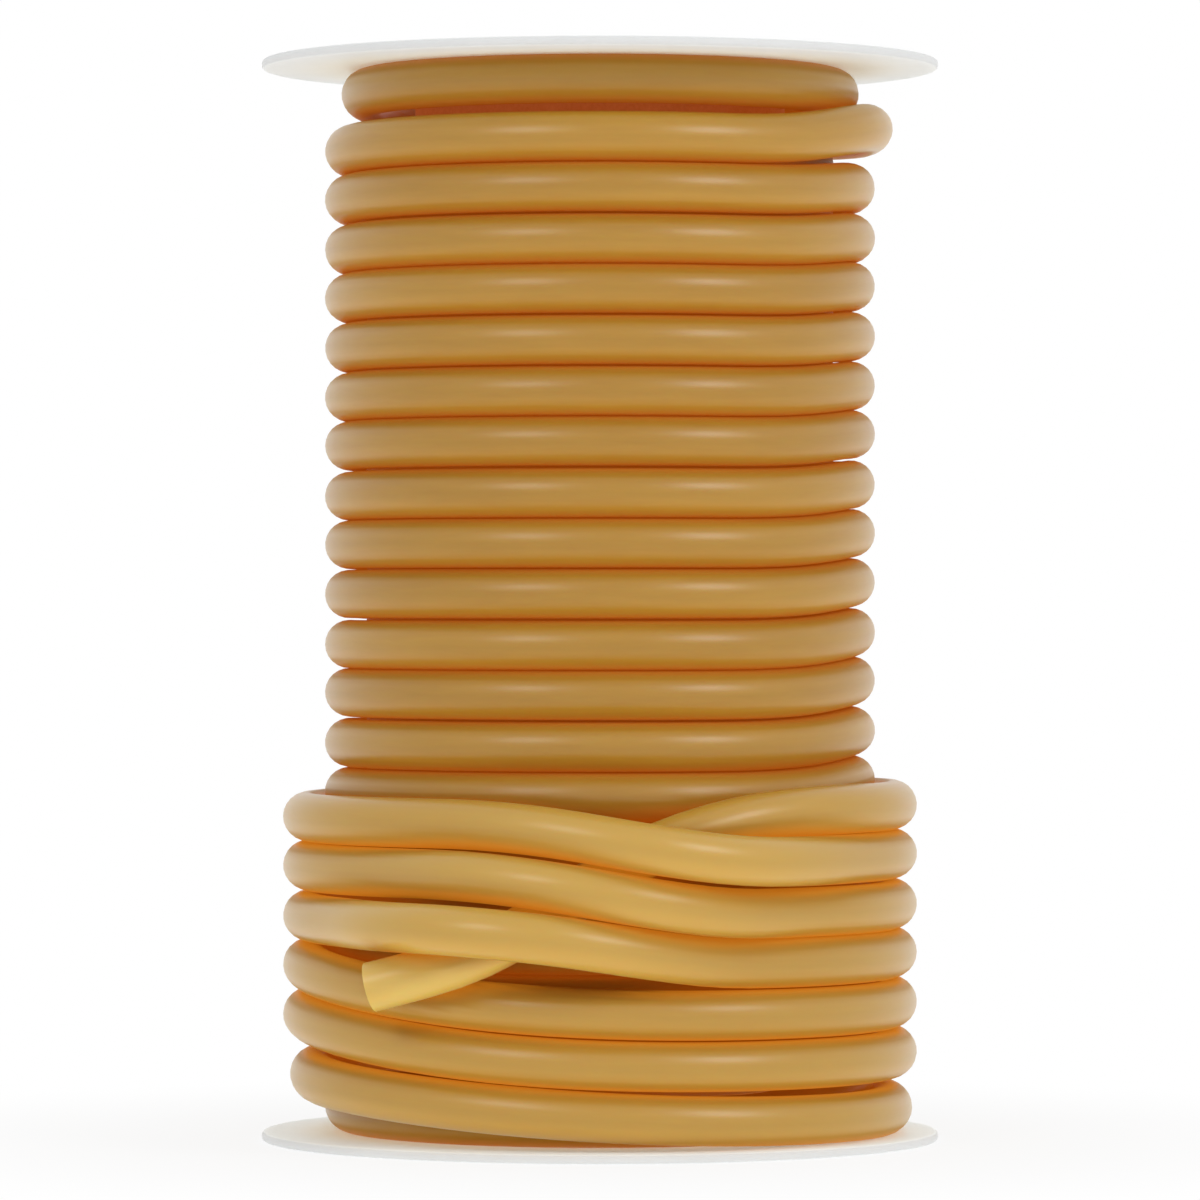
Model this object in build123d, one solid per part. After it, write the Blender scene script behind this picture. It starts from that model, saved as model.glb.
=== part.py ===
from build123d import *
from math import cos, floor, pi, radians, sin, sqrt, tan
import os

# Amber rubber tubing wound in three layers on a plastic reel that stands on end.
# Lengths are millimetres. The reel's axis is Z, its lower flange lies on Z = 0, and the side
# where the tubing's free end is tucked under the outer turns faces -Y.

# Tubing, 3/8 inch outside with a 1/16 inch wall, so 1/4 inch inside
TUBE_OD = 9.525
TUBE_WALL = 1.5875
TURN_GAP = 0.195
LAYER_GAP = 0.05
CROSSING_GAP = 0.3
SEAT_GAP = 0.1
OUTER_TURNS = 6

# Reel: a paperboard core between two moulded flanges that plug into it
WINDING_WIDTH = 209.4
CORE_OD = 73.0
CORE_WALL = 3.0
FLANGE_DIAMETER = 133.5
FLANGE_THICKNESS = 1.8
RIM_ROUND = 0.7
PLUG_CLEARANCE = 0.1
PLUG_DEPTH = 14.0
PLUG_WALL = 2.0
PLUG_LEAD = 0.8
ARBOR_DIAMETER = 16.0
BOSS_WALL = 2.4
WEB_THICKNESS = 1.8
RIB_THICKNESS = 1.8
RIB_RECESS = 2.0
RIB_COUNT = 6

# Where the turns lie, as shares of the pitch, or of the step from one layer to the next, how far from
# the middle of the front a turn has come down and runs level, and how far from the middle of the back
# a leaning turn crosses the ridges of the layer under it
FIRST_TURN_SHARE = 0.914
FRONT_DROP_SHARE = 0.24
FIRST_STEP_SHARE = 0.70
TOP_TURN_RISE_SHARE = 0.61
TOP_CROSSING_SHARE = 0.9
FIRST_CROSSING_SHARE = 0.18
LOW_CROSSING_SHARE = 0.45
LEVEL_ANGLE = 34.0
RIDGE_CROSSING_ANGLE = 30.0

# The outer layer's front: the corners of each turn's route and how round they are, the shoulder at the
# reel's sides, then where the last three turns step sideways and lift over the tucked end
CORNER_ANGLE = 15.0
RUN_SHARE = 0.45
SHOULDER_POWER = 14
STEP_HALF_ANGLE = 25.0
STEP_ANGLES = (2.0, 2.4, 4.5)
LIFT_HALF_ANGLE = 45.0
LIFT_ANGLES = (-18.0, -3.0, 11.0)
LIFT_SHARES = (1.56, 1.08, 1.08)
LATE_RISE_POWERS = (2.0, 3.6, 3.6)

# The tucked end, corner by corner from the right: its drop in pitches and its lift in tube diameters
TAIL_DROP_SHARES = (0.0, 0.0, 0.0, 0.04, 0.25, 0.77, 1.85, 2.98, 3.42)
TAIL_LIFT_SHARES = (0.0, 0.0, 0.0, 0.0, 0.0, 0.0, 0.0, 0.60, 1.22)

RIGHT, LEFT = 1, -1
FRONT, BACK = -1, 1

# Sizes that follow from the ones above
tube_bore = TUBE_OD - 2 * TUBE_WALL
core_bore = CORE_OD - 2 * CORE_WALL
plug_od = core_bore - 2 * PLUG_CLEARANCE
plug_bore = plug_od - 2 * PLUG_WALL
plug_top = FLANGE_THICKNESS + PLUG_DEPTH
web_level = plug_top - WEB_THICKNESS
arbor_radius = ARBOR_DIAMETER / 2
boss_radius = arbor_radius + BOSS_WALL

# Spacing of the turns: along the reel, and from one layer to the next where a turn lies in a groove
pitch = TUBE_OD + TURN_GAP
contact = TUBE_OD + LAYER_GAP
crossing = TUBE_OD + CROSSING_GAP
nest = sqrt(contact ** 2 - (pitch / 2) ** 2)
ridge_rise = crossing - nest

inner_radius = CORE_OD / 2 + SEAT_GAP + TUBE_OD / 2
middle_radius = inner_radius + nest
outer_radius = middle_radius + nest
top_radius = inner_radius + TOP_TURN_RISE_SHARE * nest

lower_face = FLANGE_THICKNESS
upper_face = lower_face + WINDING_WIDTH
bottom_level = lower_face + SEAT_GAP + TUBE_OD / 2
top_level = upper_face - SEAT_GAP - TUBE_OD / 2

# How far a half turn reaches in Y, leaning as it does, to pass over the ridges of the layer under it
inner_back_reach = sqrt(inner_radius ** 2 + ((1 + FRONT_DROP_SHARE) * pitch / 2) ** 2)
middle_back_reach = inner_back_reach + nest + ridge_rise / cos(radians(RIDGE_CROSSING_ANGLE))
outer_back_reach = middle_back_reach + crossing
outer_front_reach = middle_radius + crossing

turn_room = (top_level - bottom_level) / pitch - FIRST_TURN_SHARE - FRONT_DROP_SHARE
middle_last = floor(turn_room)
inner_last = floor(turn_room + 1 / 2)


def right_level(index):
    """Height of a middle-layer turn where it passes the right side."""
    return top_level - (FIRST_TURN_SHARE + index) * pitch


def left_level(index):
    """Height of a middle-layer turn where it passes the left side."""
    return right_level(index) - FRONT_DROP_SHARE * pitch


def station(side, radius, level):
    """A point of the tubing's centre line on the reel's right or left side."""
    return Vector(side * radius, 0, level)


def beside(radius, gap):
    """Radius of a turn that lies against a turn of another layer, a given height apart."""
    return radius + sqrt(max(contact ** 2 - gap ** 2, 0))


def half_turn(start, end, facing, reach=0):
    """Half a turn from one side to the other: a semicircle, with short straights if it reaches further."""
    chord = (end - start).length
    straight = Vector(0, facing * max(reach - chord / 2, 0), 0)
    apex = (start + end) / 2 + straight + Vector(0, facing * chord / 2, 0)
    arc = ThreePointArc(start + straight, apex, end + straight).edge()
    if straight.length == 0:
        return [arc]
    return [Line(start, start + straight).edge(), arc, Line(end + straight, end).edge()]


def front_point(angle, radius, level):
    """A point in front of the reel, its angle taken from the middle of the front towards the right."""
    return Vector(radius * sin(radians(angle)), -radius * cos(radians(angle)), level)


def s_bend(start, start_way, end, end_way):
    """Two arcs that leave and arrive along given directions and meet smoothly halfway."""
    gap = end - start
    ways = start_way + end_way
    spread = 2 * (1 - start_way.dot(end_way))
    reach = (sqrt(gap.dot(ways) ** 2 + spread * gap.dot(gap)) - gap.dot(ways)) / spread
    meeting = (start + end + (start_way - end_way) * reach) / 2
    leaving = TangentArc(start, meeting, tangent=start_way).edge()
    return [leaving, TangentArc(meeting, end, tangent=leaving % 1).edge()]


def front_half(start, end):
    """Half a turn round the front: down from the right side in an S-bend, then level to the left side."""
    level_from = front_point(LEVEL_ANGLE, -end.X, end.Z)
    level_middle = front_point((LEVEL_ANGLE - 90) / 2, -end.X, end.Z)
    level_way = Vector(-cos(radians(LEVEL_ANGLE)), -sin(radians(LEVEL_ANGLE)), 0)
    bend = s_bend(start, Vector(0, FRONT, 0), level_from, level_way)
    return bend + [ThreePointArc(level_from, level_middle, end).edge()]


def rounded_route(points):
    """Straight runs between the points, with each corner as round as its shorter run allows."""
    radii = []
    for before, corner, after in zip(points, points[1:], points[2:]):
        turn = (corner - before).get_angle(after - corner)
        run = min((corner - before).length, (after - corner).length)
        radii.append(RUN_SHARE * run / tan(radians(turn / 2)))
    print("tightest bend of a front route", round(min(radii), 1))
    return FilletPolyline(*points, radius=radii).edges()


corner_count = round(180 / CORNER_ANGLE)
corner_angles = [90 - CORNER_ANGLE * (index + 1 / 2) for index in range(corner_count)]
corner_scale = 1 / cos(radians(CORNER_ANGLE / 2))


def front_radius(angle, start, end):
    """Radius of an outer turn on the front, where it rides over the middle layer's ridges."""
    towards_left = (1 - sin(radians(angle))) / 2
    side_radius = start.X + (-end.X - start.X) * towards_left
    return side_radius + (outer_front_reach - side_radius) * (1 - sin(radians(angle)) ** SHOULDER_POWER)


def front_route(start, end, rise, lift):
    """An outer turn's front half, from right to left, with its own rise along the reel and lift off it."""
    points = [start]
    for angle in corner_angles:
        radius = (front_radius(angle, start, end) + lift(angle)) * corner_scale
        points.append(front_point(angle, radius, start.Z + (end.Z - start.Z) * rise(angle)))
    points[1] = Vector(start.X, points[1].Y, start.Z)
    points[-1] = Vector(end.X, points[-1].Y, end.Z)
    return rounded_route(points + [end])


def late_rise(power):
    """A rise that comes mostly towards the left."""
    return lambda angle: ((1 - sin(radians(angle))) / 2) ** power


def stepped_rise(centre):
    """A rise that comes in one S-shaped step about an angle."""

    def rise(angle):
        share = min(max((centre + STEP_HALF_ANGLE - angle) / (2 * STEP_HALF_ANGLE), 0), 1)
        return share * share * (3 - 2 * share)

    return rise


def hump(centre, height):
    """A smooth lift about an angle, over the tucked end."""

    def lift(angle):
        offset = min(max((angle - centre) / LIFT_HALF_ANGLE, -1), 1)
        return height * cos(offset * pi / 2) ** 2

    return lift


def no_lift(angle):
    """A turn that lies on the layer under it all the way round the front."""
    return 0


def inner_layer():
    """The hidden layer on the core, wound from the bottom up, and its last turn under the upper flange."""
    path = []
    here = station(RIGHT, inner_radius, right_level(inner_last) + pitch / 2)
    for index in range(inner_last, 0, -1):
        across = station(LEFT, inner_radius, left_level(index) + pitch / 2)
        path += front_half(here, across)
        here = station(RIGHT, inner_radius, right_level(index - 1) + pitch / 2)
        if index == 1:
            here = station(RIGHT, top_radius, top_level)
        path += half_turn(across, here, BACK)
    return path + half_turn(here, station(LEFT, top_radius, top_level), FRONT)


def middle_layer():
    """The layer that shows over most of the reel, wound from the top down."""
    first_step = FIRST_STEP_SHARE * pitch
    here = station(RIGHT, beside(top_radius, first_step), top_level - first_step)
    across = station(LEFT, top_radius, top_level)
    path = half_turn(across, here, BACK, top_radius + TOP_CROSSING_SHARE * contact)
    for index in range(middle_last):
        across = station(LEFT, middle_radius, left_level(index))
        path += front_half(here, across)
        here = station(RIGHT, middle_radius, right_level(index + 1))
        extra_reach = FIRST_CROSSING_SHARE * contact if index == 0 else 0
        path += half_turn(across, here, BACK, middle_back_reach + extra_reach)
    return path + front_half(here, station(LEFT, middle_radius, bottom_level))


def outer_layer():
    """The part-filled layer, wound from the bottom up, and the end tucked under its last three turns."""
    low_gap = right_level(middle_last) - bottom_level
    wide_gap = (left_level(middle_last - 1) - bottom_level) / 2
    here = station(RIGHT, beside(middle_radius, low_gap), bottom_level)
    path = half_turn(station(LEFT, middle_radius, bottom_level), here, BACK,
                     middle_back_reach + LOW_CROSSING_SHARE * contact)
    lifted_from = OUTER_TURNS - len(STEP_ANGLES)
    for turn in range(OUTER_TURNS):
        across = station(LEFT, outer_radius, left_level(middle_last - 1 - turn) - pitch / 2)
        if turn == 0:
            across = station(LEFT, beside(middle_radius, wide_gap), bottom_level + wide_gap)
        if turn < lifted_from:
            power = LATE_RISE_POWERS[min(turn, len(LATE_RISE_POWERS) - 1)]
            path += front_route(here, across, late_rise(power), no_lift)
        else:
            place = turn - lifted_from
            lift = hump(LIFT_ANGLES[place], LIFT_SHARES[place] * contact)
            path += front_route(here, across, stepped_rise(STEP_ANGLES[place]), lift)
        here = station(RIGHT, outer_radius, right_level(middle_last - 1 - turn) - pitch / 2)
        path += half_turn(across, here, BACK, outer_back_reach)
    return path + tucked_end(here)


def tucked_end(start):
    """The tubing's end, from the right side down under three turns and out over the next."""
    points = [start]
    opposite = Vector(-start.X, start.Y, start.Z)
    for angle, drop, lift in zip(corner_angles, TAIL_DROP_SHARES, TAIL_LIFT_SHARES):
        radius = (front_radius(angle, start, opposite) + lift * contact) * corner_scale
        points.append(front_point(angle, radius, start.Z - drop * pitch))
    points[1] = Vector(start.X, points[1].Y, start.Z)
    return rounded_route(points)


def tubing():
    """The whole length of tubing: one solid of outer wall, bore and two cut ends along the centre line."""
    centre_line = Wire(inner_layer() + middle_layer() + outer_layer())
    end_plane = Plane(centre_line @ 0, z_dir=centre_line % 0)
    skins = []
    cut_ends = []
    for diameter in (TUBE_OD, tube_bore):
        rod = Solid.sweep(Face(Wire.make_circle(diameter / 2, end_plane)), centre_line)
        cut_ends.append(rod.faces().filter_by(GeomType.PLANE).sort_by(Axis.Z))
        skins += [face for face in rod.faces() if face.geom_type != GeomType.PLANE]
    rings = [Face(wall.outer_wire(), [bore.outer_wire()]) for wall, bore in zip(*cut_ends)]
    hollow = Solid(Shell(skins + rings))
    section = pi * (TUBE_OD ** 2 - tube_bore ** 2) / 4
    print("tubing length", round(centre_line.length))
    print("volume against section times length", hollow.volume / (section * centre_line.length))
    return hollow


def core_tube():
    """The paperboard tube that the tubing is wound on, as long as the winding is wide."""
    ring = Circle(CORE_OD / 2) - Circle(core_bore / 2)
    return Pos(0, 0, lower_face) * extrude(ring, WINDING_WIDTH)


def lower_flange():
    """A moulded disc with a hollow hub that plugs into the core: boss, ribs and ring joined by a web."""
    profile = Plane.XZ * make_face(
        Polyline(
            (arbor_radius, 0),
            (boss_radius, 0),
            (boss_radius, web_level),
            (plug_bore / 2, web_level),
            (plug_bore / 2, 0),
            (FLANGE_DIAMETER / 2, 0),
            (FLANGE_DIAMETER / 2, FLANGE_THICKNESS),
            (plug_od / 2, FLANGE_THICKNESS),
            (plug_od / 2, plug_top - PLUG_LEAD),
            (plug_od / 2 - PLUG_LEAD, plug_top),
            (arbor_radius, plug_top),
            close=True,
        )
    )
    flange = revolve(profile, Axis.Z)
    rim_edges = flange.edges().filter_by(GeomType.CIRCLE).group_by(SortBy.RADIUS)[-1]
    flange = fillet(rim_edges, RIM_ROUND)
    rib_start = boss_radius - BOSS_WALL / 2
    rib_end = plug_bore / 2 + PLUG_WALL / 2
    rib = Pos((rib_start + rib_end) / 2, 0, (RIB_RECESS + plug_top - WEB_THICKNESS / 2) / 2) * Box(
        rib_end - rib_start, RIB_THICKNESS, plug_top - WEB_THICKNESS / 2 - RIB_RECESS
    )
    for place in PolarLocations(0, RIB_COUNT):
        flange += place * rib
    return flange


def upper_flange():
    """The same moulding, turned over on the core's other end."""
    return lower_flange().mirror(Plane.XY.offset(lower_face + WINDING_WIDTH / 2))


os.makedirs("parts", exist_ok=True)
for piece in (core_tube, lower_flange, upper_flange, tubing):
    solid = piece()
    export_step(solid, f"parts/{piece.__name__}.step")
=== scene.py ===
# %% [markdown]
# # A reel of amber rubber tubing
#
# The object is one long hollow rubber tube, wound in three layers on a white plastic reel that
# stands on end. This lesson loads the reel as a fixed frame, winds the tubing as one smooth curve,
# gives it a wall with Geometry Nodes, and then finishes rubber, plastic and paperboard with node
# materials. Everything is in metres. Z is the reel's axis, and the camera looks along +Y.

# %% Load the frame
from math import cos, floor, pi, radians, sin, sqrt

import bpy
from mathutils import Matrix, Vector


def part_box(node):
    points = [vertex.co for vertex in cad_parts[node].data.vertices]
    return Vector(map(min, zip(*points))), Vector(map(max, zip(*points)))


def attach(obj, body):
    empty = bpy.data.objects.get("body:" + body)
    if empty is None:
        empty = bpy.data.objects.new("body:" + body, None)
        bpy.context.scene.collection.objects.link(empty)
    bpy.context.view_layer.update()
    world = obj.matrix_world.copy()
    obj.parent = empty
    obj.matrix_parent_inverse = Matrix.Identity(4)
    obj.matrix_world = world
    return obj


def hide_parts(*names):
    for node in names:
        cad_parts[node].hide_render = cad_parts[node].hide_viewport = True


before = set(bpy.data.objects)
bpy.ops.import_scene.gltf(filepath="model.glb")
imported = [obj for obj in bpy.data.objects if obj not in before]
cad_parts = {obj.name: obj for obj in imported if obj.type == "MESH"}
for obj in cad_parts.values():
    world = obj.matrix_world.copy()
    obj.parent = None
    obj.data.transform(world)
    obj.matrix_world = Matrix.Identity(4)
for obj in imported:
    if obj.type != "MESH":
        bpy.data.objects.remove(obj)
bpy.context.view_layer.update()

scene = bpy.context.scene
scene.view_settings.view_transform = "Standard"
print("nodes", sorted(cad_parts))

# %% [markdown]
# ## What the reel gives the winding
#
# A winder starts from the reel: how thick the core is and how far apart the flanges stand decide
# where every turn can lie. So these sizes are read from the frame and not typed again. Only the
# tubing's own stock size, 3/8 inch outside with a 1/16 inch wall, is written here, with the small
# gaps of a winding.

# %% Sizes of the reel and the tubing
MM = 0.001
TUBE_OD = 9.525 * MM
TUBE_WALL = 1.5875 * MM
TURN_GAP = 0.195 * MM
LAYER_GAP = 0.05 * MM
CROSSING_GAP = 0.3 * MM
SEAT_GAP = 0.1 * MM

core_low, core_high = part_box("core_tube")
core_radius = core_high.x
lower_face = core_low.z
upper_face = core_high.z
flange_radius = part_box("upper_flange")[1].x
reel_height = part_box("upper_flange")[1].z
print("core radius", round(core_radius, 4), "winding width", round(upper_face - lower_face, 4))

# %% [markdown]
# ## Where the turns lie
#
# Turns in one layer lie side by side, one pitch apart. A turn of the next layer drops into the
# groove between two turns, so layers are closer together than a full diameter. Where a turn has to
# climb over the one below, at the back and over the tucked end, it needs the full diameter. These
# three spacings are all that the winding rule needs.

# %% Spacings and levels of the layers
FIRST_TURN_SHARE = 0.914
FRONT_DROP_SHARE = 0.24
TOP_TURN_RISE_SHARE = 0.61

pitch = TUBE_OD + TURN_GAP
contact = TUBE_OD + LAYER_GAP
crossing = TUBE_OD + CROSSING_GAP
nest = sqrt(contact ** 2 - (pitch / 2) ** 2)
inner_radius = core_radius + SEAT_GAP + TUBE_OD / 2
middle_radius = inner_radius + nest
outer_radius = middle_radius + nest
top_radius = inner_radius + TOP_TURN_RISE_SHARE * nest
bottom_level = lower_face + SEAT_GAP + TUBE_OD / 2
top_level = upper_face - SEAT_GAP - TUBE_OD / 2
turn_room = (top_level - bottom_level) / pitch - FIRST_TURN_SHARE - FRONT_DROP_SHARE
middle_last = floor(turn_room)
inner_last = floor(turn_room + 1 / 2)
print("turns under the outer layer", inner_last, middle_last)

# %% Levels on the reel's two sides
RIGHT, LEFT = 1, -1
FRONT, BACK = -1, 1
UNEVENNESS = 0.11 * MM
UNEVEN_STEP = 2.4


def right_level(index):
    """Height of a middle-layer turn on the right side, a hair uneven from turn to turn."""
    return top_level - (FIRST_TURN_SHARE + index) * pitch + UNEVENNESS * sin(UNEVEN_STEP * index)


def left_level(index):
    """Height of a middle-layer turn on the left side."""
    return right_level(index) - FRONT_DROP_SHARE * pitch


def station(side, radius, level):
    """A point of the tubing's centre line on the reel's right or left side."""
    return Vector((side * radius, 0, level))


def beside(radius, gap):
    """Radius of a turn that lies against a turn of another layer, a given height apart."""
    return radius + sqrt(max(contact ** 2 - gap ** 2, 0))


print("first and last level", round(right_level(0), 4), round(right_level(middle_last), 4))

# %% [markdown]
# ## Half a turn as guide points
#
# A spline of order 3 touches the middle of each run between its guide points. Guide points at the
# corners of a regular polygon drawn round a circle therefore give a curve that is a circle to the
# eye. Half a turn takes twelve corners. At the back each turn leans over to its next groove and
# reaches out a little further, to pass over the ridges below. On the front a turn comes down from
# the right in one short S-bend and then runs level to the left, as the photo's creases do.

# %% Guide points round the back
CORNERS = 12
RIDGE_CROSSING_ANGLE = 30.0

corner_step = pi / CORNERS
corner_scale = 1 / cos(corner_step / 2)
inner_back_reach = sqrt(inner_radius ** 2 + ((1 + FRONT_DROP_SHARE) * pitch / 2) ** 2)
ridge_lean = cos(radians(RIDGE_CROSSING_ANGLE))
middle_back_reach = inner_back_reach + nest + (crossing - nest) / ridge_lean
outer_back_reach = middle_back_reach + crossing


def half_turn(start, end, facing, reach=0.0):
    """Guide points from one side of the reel to the other, round its front or its back."""
    middle = (start + end) / 2
    across = (end - start) / 2
    straight = max(reach - across.length, 0)
    points = []
    for corner in range(CORNERS):
        angle = (corner + 1 / 2) * corner_step
        out = straight + across.length * sin(angle) * corner_scale
        points.append(middle - across * cos(angle) * corner_scale + Vector((0, facing * out, 0)))
    return points


print("reach at the back", round(middle_back_reach, 4), round(outer_back_reach, 4))

# %% Guide points round the front
SIDE_ANGLE = 90.0
LEVEL_ANGLE = 34.0

front_step = 2 * SIDE_ANGLE / CORNERS
corner_angles = [SIDE_ANGLE - front_step * (corner + 1 / 2) for corner in range(CORNERS)]


def front_point(angle, radius, level):
    """A point in front of the reel, at an angle from the front's middle towards the right."""
    return Vector((radius * sin(radians(angle)), -radius * cos(radians(angle)), level))


def eased(share):
    """A share that leaves nought and reaches one without a kink: two joined parabolas."""
    return 2 * share ** 2 if share < 1 / 2 else 1 - 2 * (1 - share) ** 2


def front_half(start, end):
    """Guide points down from the right side in an S-bend, then level to the left side."""
    points = []
    for angle in corner_angles:
        share = eased(max((angle - LEVEL_ANGLE) / (SIDE_ANGLE - LEVEL_ANGLE), 0))
        radius = -end.x + (start.x + end.x) * share
        points.append(front_point(angle, radius * corner_scale, end.z + (start.z - end.z) * share))
    points[0] = Vector((start.x, points[0].y, start.z))
    return points


print("guide points in a full turn", 2 * CORNERS)

# %% [markdown]
# ## The two full layers
#
# The inner layer climbs the core and can't be seen, apart from its last turn, which is squeezed out
# a little under the upper flange. The middle layer comes down again and is what shows over most of
# the reel. Both are loops over their turns, so one changed spacing winds the whole reel anew.

# %% Inner and middle layers
FIRST_STEP_SHARE = 0.70
TOP_CROSSING_SHARE = 0.9
FIRST_CROSSING_SHARE = 0.18


def inner_layer():
    """The hidden layer on the core, wound upwards, and its last turn under the upper flange."""
    here = station(RIGHT, inner_radius, right_level(inner_last) + pitch / 2)
    points = [here]
    for index in range(inner_last, 0, -1):
        across = station(LEFT, inner_radius, left_level(index) + pitch / 2)
        points += front_half(here, across)
        here = station(RIGHT, inner_radius, right_level(index - 1) + pitch / 2)
        if index == 1:
            here = station(RIGHT, top_radius, top_level)
        points += half_turn(across, here, BACK)
    return points + half_turn(here, station(LEFT, top_radius, top_level), FRONT)


def middle_layer():
    """The layer that shows over most of the reel, wound downwards."""
    first_step = FIRST_STEP_SHARE * pitch
    here = station(RIGHT, beside(top_radius, first_step), top_level - first_step)
    across = station(LEFT, top_radius, top_level)
    points = half_turn(across, here, BACK, top_radius + TOP_CROSSING_SHARE * contact)
    for index in range(middle_last):
        across = station(LEFT, middle_radius, left_level(index))
        points += front_half(here, across)
        here = station(RIGHT, middle_radius, right_level(index + 1))
        extra_reach = FIRST_CROSSING_SHARE * contact if index == 0 else 0
        points += half_turn(across, here, BACK, middle_back_reach + extra_reach)
    return points + front_half(here, station(LEFT, middle_radius, bottom_level))


print("guide points", len(inner_layer()) + len(middle_layer()))

# %% [markdown]
# ## The part-filled outer layer
#
# Six turns lie on top, near the lower flange. The first three rise late, towards the left. The last
# three step sideways in one S-shaped bend and lift over the tucked end, each a little further to
# the right than the one before. A rise along the reel and a lift away from it, both functions of
# the angle round the front, describe all six.

# %% Rise and lift of the outer turns
OUTER_TURNS = 6
LATE_RISE_POWERS = (2.0, 3.6, 3.6)
STEP_HALF_ANGLE = 25.0
STEP_ANGLES = (2.0, 2.4, 4.5)
LIFT_HALF_ANGLE = 45.0
LIFT_ANGLES = (-18.0, -3.0, 11.0)
LIFT_SHARES = (1.56, 1.08, 1.08)


def late_rise(power):
    """A rise that comes mostly towards the left."""
    return lambda angle: ((1 - sin(radians(angle))) / 2) ** power


def stepped_rise(centre):
    """A rise that comes in one S-shaped step about an angle."""

    def rise(angle):
        share = min(max((centre + STEP_HALF_ANGLE - angle) / (2 * STEP_HALF_ANGLE), 0), 1)
        return share * share * (3 - 2 * share)

    return rise


def hump(centre, height):
    """A smooth lift about an angle, over the tucked end."""

    def lift(angle):
        offset = min(max((angle - centre) / LIFT_HALF_ANGLE, -1), 1)
        return height * cos(offset * pi / 2) ** 2

    return lift


def no_lift(angle):
    """A turn that lies on the layer under it all the way round the front."""
    return 0


print("outer turns", OUTER_TURNS, "of which lifted", len(STEP_ANGLES))

# %% Guide points of the outer turns
SHOULDER_POWER = 14

outer_front_reach = middle_radius + crossing


def front_radius(angle, start, end):
    """Radius of an outer turn on the front, where it rides over the middle layer's ridges."""
    towards_left = (1 - sin(radians(angle))) / 2
    side_radius = start.x + (-end.x - start.x) * towards_left
    shoulder = 1 - sin(radians(angle)) ** SHOULDER_POWER
    return side_radius + (outer_front_reach - side_radius) * shoulder


def front_route(start, end, rise, lift):
    """An outer turn's front half, from right to left, with its own rise and lift."""
    points = []
    for angle in corner_angles:
        radius = (front_radius(angle, start, end) + lift(angle)) * corner_scale
        points.append(front_point(angle, radius, start.z + (end.z - start.z) * rise(angle)))
    points[0] = Vector((start.x, points[0].y, start.z))
    points[-1] = Vector((end.x, points[-1].y, end.z))
    return points


print("outer turns ride at", round(outer_front_reach, 4))

# %% [markdown]
# ## The tucked end
#
# The last stretch comes round from the right, dives under three turns and comes out on top of the
# fourth, where it was cut square. Its guide points drop in pitches and lift in tube diameters,
# corner by corner, because no simple formula follows a stretch that a person pushed under by hand.

# %% Outer layer and tucked end
LOW_CROSSING_SHARE = 0.45
TAIL_DROP_SHARES = (0.0, 0.0, 0.0, 0.04, 0.25, 0.77, 1.85, 2.98, 3.42)
TAIL_LIFT_SHARES = (0.0, 0.0, 0.0, 0.0, 0.0, 0.0, 0.0, 0.60, 1.22)


def tucked_end(start):
    """The tubing's end, from the right side down under three turns and out over the next."""
    points = []
    opposite = Vector((-start.x, start.y, start.z))
    for angle, drop, lift in zip(corner_angles, TAIL_DROP_SHARES, TAIL_LIFT_SHARES):
        radius = (front_radius(angle, start, opposite) + lift * contact) * corner_scale
        points.append(front_point(angle, radius, start.z - drop * pitch))
    points[0] = Vector((start.x, points[0].y, start.z))
    return points


def outer_layer():
    """The part-filled layer, wound upwards, and the end tucked under its last three turns."""
    low_gap = right_level(middle_last) - bottom_level
    wide_gap = (left_level(middle_last - 1) - bottom_level) / 2
    here = station(RIGHT, beside(middle_radius, low_gap), bottom_level)
    points = half_turn(station(LEFT, middle_radius, bottom_level), here, BACK,
                       middle_back_reach + LOW_CROSSING_SHARE * contact)
    lifted_from = OUTER_TURNS - len(STEP_ANGLES)
    for turn in range(OUTER_TURNS):
        across = station(LEFT, outer_radius, left_level(middle_last - 1 - turn) - pitch / 2)
        if turn == 0:
            across = station(LEFT, beside(middle_radius, wide_gap), bottom_level + wide_gap)
        if turn < lifted_from:
            points += front_route(here, across, late_rise(LATE_RISE_POWERS[turn]), no_lift)
        else:
            place = turn - lifted_from
            lift = hump(LIFT_ANGLES[place], LIFT_SHARES[place] * contact)
            points += front_route(here, across, stepped_rise(STEP_ANGLES[place]), lift)
        here = station(RIGHT, outer_radius, right_level(middle_last - 1 - turn) - pitch / 2)
        points += half_turn(across, here, BACK, outer_back_reach)
    return points + tucked_end(here)


print("guide points of the outer layer", len(outer_layer()))

# %% [markdown]
# ## One smooth centre line
#
# All guide points go into a single spline, because the real tubing is one length from its hidden
# start to its cut end. The order is set after the points are added. Set before, it would stay a
# zigzag.

# %% The centre line
SPLINE_ORDER = 3
SPLINE_STEPS = 4


def smooth_line(name, points):
    """A curve object with one open spline, guided by the points, from the first to the last."""
    curve = bpy.data.curves.new(name, "CURVE")
    curve.dimensions = "3D"
    curve.resolution_u = SPLINE_STEPS
    spline = curve.splines.new("NURBS")
    spline.points.add(len(points) - 1)
    for guide, point in zip(spline.points, points):
        guide.co = (*point, 1)
    spline.use_endpoint_u = True
    spline.order_u = SPLINE_ORDER
    spline.resolution_u = SPLINE_STEPS
    line = bpy.data.objects.new(name, curve)
    scene.collection.objects.link(line)
    return line


centre_line = smooth_line("tubing_line", inner_layer() + middle_layer() + outer_layer())
tube_length = centre_line.data.splines[0].calc_length()
print("tubing length", round(tube_length, 3))

# %% [markdown]
# ## Node trees by script
#
# A node tree is easier to read when each node is made on one line, with its settings and with what
# feeds its inputs: a plain value or another node's output. A few small helpers do that. They serve
# the Geometry Nodes here and the materials further on.

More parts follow.
